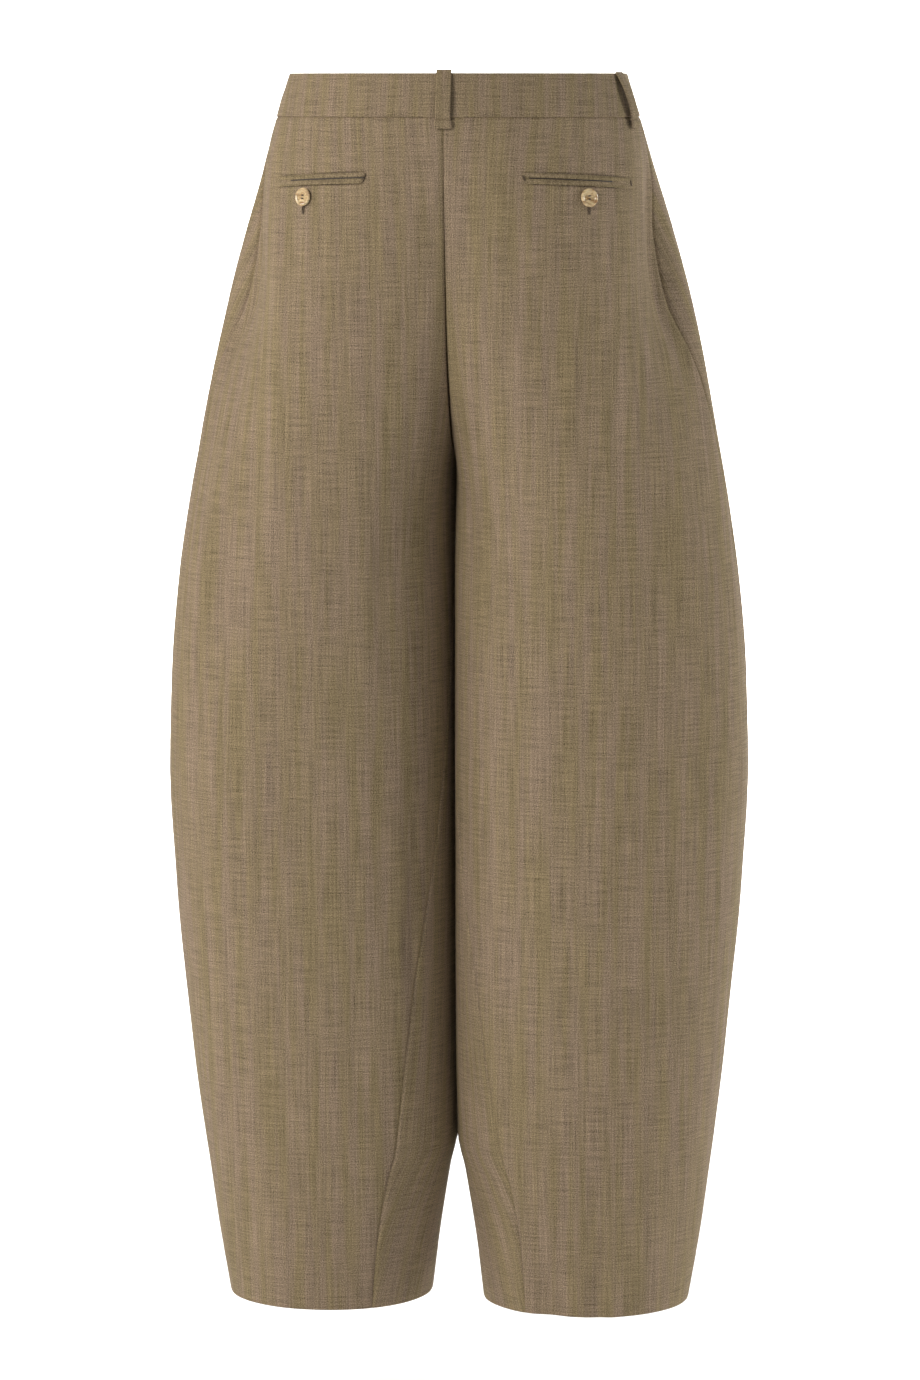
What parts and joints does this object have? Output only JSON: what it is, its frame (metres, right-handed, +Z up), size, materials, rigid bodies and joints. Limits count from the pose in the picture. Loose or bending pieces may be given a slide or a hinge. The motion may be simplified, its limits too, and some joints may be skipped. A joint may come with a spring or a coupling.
{
  "type": "barrel leg trousers",
  "caption": "Barrel leg trousers in worn shape with nobody in them: wide curved legs, waistband with belt loops, jetted back pockets closed by buttons, fly front.",
  "frame": {"origin": "middle of the waist ring, halfway up the waistband", "axes": "+Z up, front of the garment faces -Y, wearer's left is +X"},
  "size_m": [0.4818, 0.2159, 1.0204],
  "materials": {
    "wool_panels": "taupe melange worsted with faint vertical slubs, matt",
    "wool_band": "the same worsted, doubled and pressed",
    "wool_trims": "the same worsted, folded and stitched",
    "horn_buttons": "cream horn look with brown streaks, semi-gloss"
  },
  "bodies": {
    "root": {"back_left": "wool_panels", "back_right": "wool_panels", "front_left": "wool_panels", "front_right": "wool_panels", "waistband_left": "wool_band", "waistband_right": "wool_band", "pocket_upper_jet_left": "wool_trims", "pocket_upper_jet_right": "wool_trims", "pocket_lower_jet_left": "wool_trims", "pocket_lower_jet_right": "wool_trims", "back_button_left": "horn_buttons", "back_button_right": "horn_buttons", "front_button": "horn_buttons", "front_loop_left": "wool_trims", "front_loop_right": "wool_trims", "side_loop_left": "wool_trims", "side_loop_right": "wool_trims", "centre_back_loop": "wool_trims", "fly_lap": "wool_trims"}
  },
  "joints": []
}
